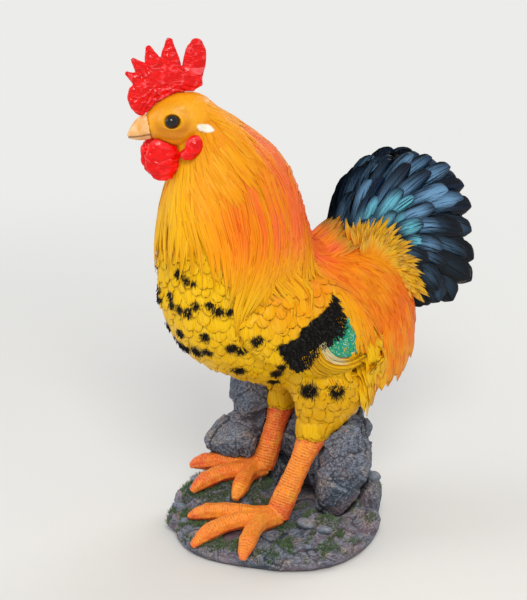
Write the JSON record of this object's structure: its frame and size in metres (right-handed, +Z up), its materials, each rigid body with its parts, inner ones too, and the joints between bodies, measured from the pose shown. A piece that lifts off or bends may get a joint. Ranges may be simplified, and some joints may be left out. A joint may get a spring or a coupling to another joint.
{
  "type": "rooster garden sculpture",
  "caption": "Standing rooster figure with upright comb and fanned tail, on a round base of rocks; painted hollow casting for a garden or shelf.",
  "frame": {"origin": "centre of the base's underside, on the face of the pad that rests on the ground", "axes": "+Z up; the bird faces -Y; its left side is towards +X"},
  "size_m": [0.204, 0.363, 0.491],
  "materials": {
    "feather": "satin orange and yellow paint with fine streaks on cast resin",
    "coverts": "satin yellow paint with dark edge lines on cast resin",
    "tail": "glossy black paint with a pearl blue wash on cast resin",
    "comb": "glossy red enamel on cast resin",
    "beak": "satin horn-coloured paint on cast resin",
    "eye": "high-gloss black",
    "leg": "satin orange paint on ribbed cast resin",
    "rock": "matt grey paint, dry-brushed lighter, with green moss, on cast resin",
    "plate": "bare resin board",
    "pad": "black foam rubber sheet",
    "steel": "plain drawn bar"
  },
  "bodies": {
    "root": {"base_pad": "pad", "base_plate": "plate", "rock_base": "rock", "rock_column": "rock", "column_pin": "steel", "left_leg": "leg", "right_leg": "leg", "left_leg_rod": "steel", "right_leg_rod": "steel", "torso_shell": "feather", "left_wing": "coverts", "right_wing": "coverts", "tail": "tail", "tail_pin": "steel", "neck_pin_1": "steel", "neck_pin_2": "steel", "neck_pin_3": "steel", "neck_and_head": "feather", "beak": "beak", "comb": "comb", "left_wattle": "comb", "right_wattle": "comb", "left_earlobe": "comb", "right_earlobe": "comb", "left_eye": "eye", "right_eye": "eye"}
  },
  "joints": []
}
